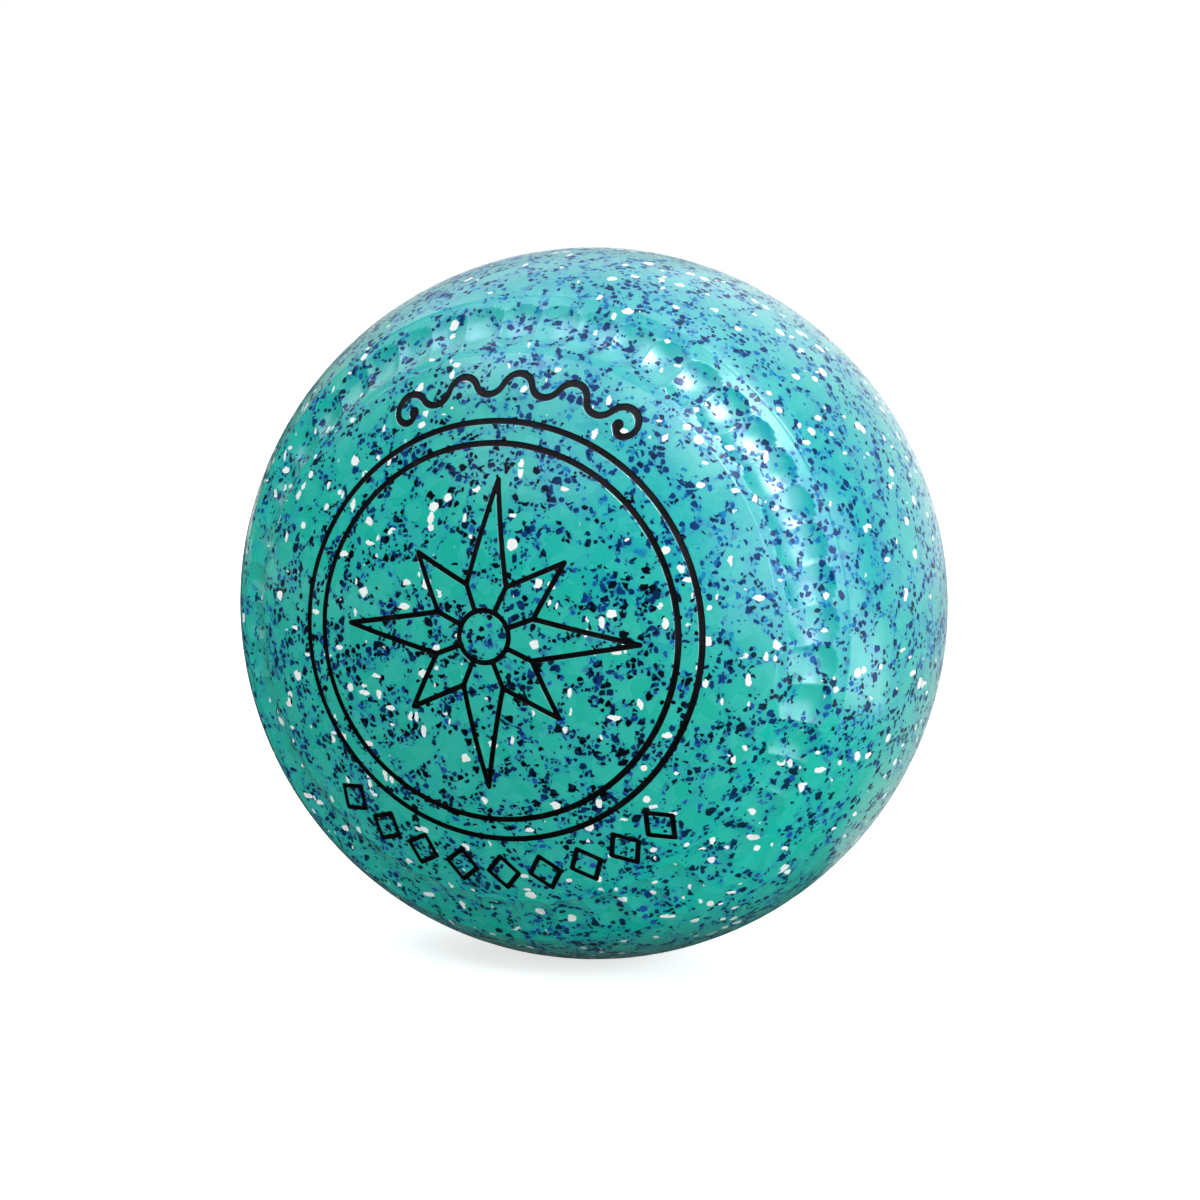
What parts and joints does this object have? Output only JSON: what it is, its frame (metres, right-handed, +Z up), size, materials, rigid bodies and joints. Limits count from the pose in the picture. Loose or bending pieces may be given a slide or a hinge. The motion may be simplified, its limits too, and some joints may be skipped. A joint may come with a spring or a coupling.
{
  "type": "lawn bowl",
  "caption": "Speckled resin lawn bowl with dimpled grip rings round both shoulders, and engraved, paint-filled rings and a compass rose on each side.",
  "frame": {"origin": "centre of the bowl's running circle, in the middle of the bowl", "axes": "+Y along the bowl's axis of rotation, from the large-ring side to the small-ring side, which is the bias side; +Z up, with the bowl standing on its running line and the rose upright; +X to the right, seen from the large-ring side"},
  "size_m": [0.127, 0.1091, 0.127],
  "materials": {
    "speckled_resin": "polished phenolic or melamine resin, teal with a navy, blue and white speckle through it",
    "core_resin": "pressed, unpolished dark resin",
    "groove_paint": "black enamel, dull, lying in the engraved grooves"
  },
  "bodies": {
    "root": {"core": "core_resin", "outer_shell": "speckled_resin", "large_outer_ring_paint": "groove_paint", "large_inner_ring_paint": "groove_paint", "large_rose_paint": "groove_paint", "small_outer_ring_paint": "groove_paint", "small_inner_ring_paint": "groove_paint", "small_rose_paint": "groove_paint"}
  },
  "joints": []
}
